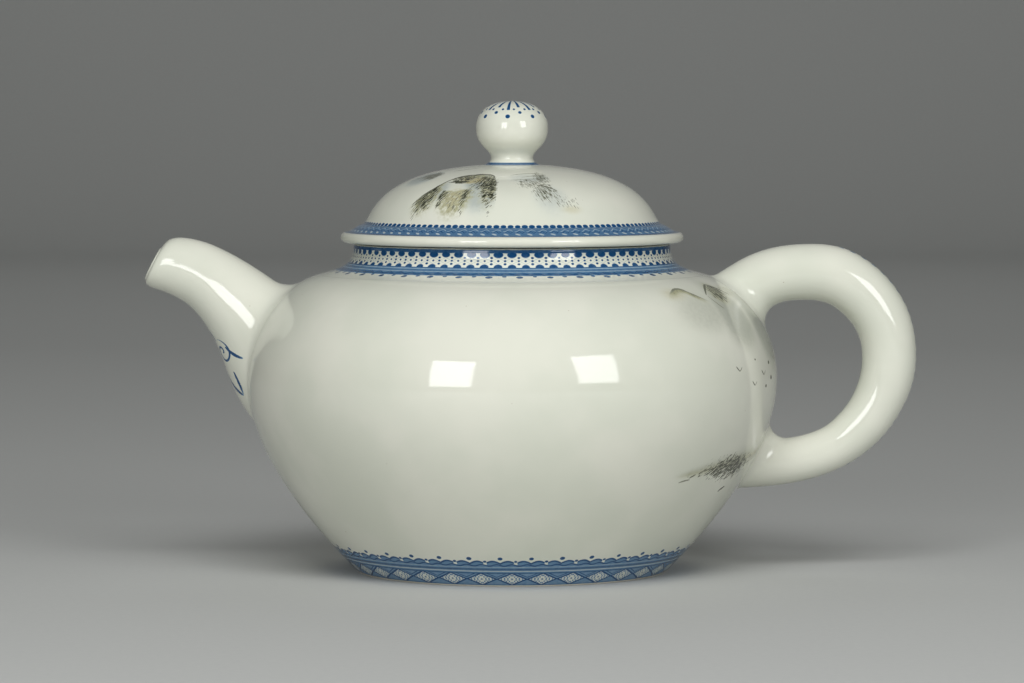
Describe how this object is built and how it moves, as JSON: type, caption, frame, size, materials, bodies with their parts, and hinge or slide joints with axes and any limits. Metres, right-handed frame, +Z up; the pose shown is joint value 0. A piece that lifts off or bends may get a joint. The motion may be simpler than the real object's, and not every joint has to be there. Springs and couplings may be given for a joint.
{
  "type": "teapot",
  "caption": "Low round porcelain teapot with a short curved spout, a round ear-shaped handle and a domed lift-off lid with a ball knob, painted with blue borders and an ink landscape.",
  "frame": {"origin": "On the table under the middle of the whole teapot's box, spout and handle included, lid on", "axes": "+Z up. The spout points along -X and the handle along +X. The painted landscape side and the plain front face -Y."},
  "size_m": [0.1702, 0.1168, 0.1035],
  "materials": {
    "body_glaze": "very glossy warm white glaze with a grey and ochre ink landscape on one side",
    "foot_glaze": "glossy glaze over blue bands, dots and diamonds, with a bare edge on the table",
    "neck_glaze": "glossy glaze over a blue border of hanging drops, dots and lines",
    "inner_glaze": "plain glossy warm white glaze",
    "spout_glaze": "very glossy warm white glaze with blue scrolls along the underside",
    "handle_glaze": "very glossy warm white glaze with a blue line down the outer side",
    "lid_glaze": "very glossy warm white glaze with a blue rim border and an ink mountain",
    "bare_porcelain": "matte unglazed biscuit porcelain",
    "knob_glaze": "very glossy warm white glaze with blue rays and dots on the crown"
  },
  "bodies": {
    "pot": {"pot_body": "body_glaze", "foot_ring": "foot_glaze", "neck_collar": "neck_glaze", "strainer": "inner_glaze", "spout": "spout_glaze", "handle": "handle_glaze"},
    "lid": {"lid_dome": "lid_glaze", "lid_flange": "bare_porcelain", "knob": "knob_glaze"}
  },
  "joints": [
    {"name": "lid_lift", "type": "slide", "parent": "pot", "child": "lid", "axis": [0, 0, 1], "range_m": [0, 0.04]}
  ]
}
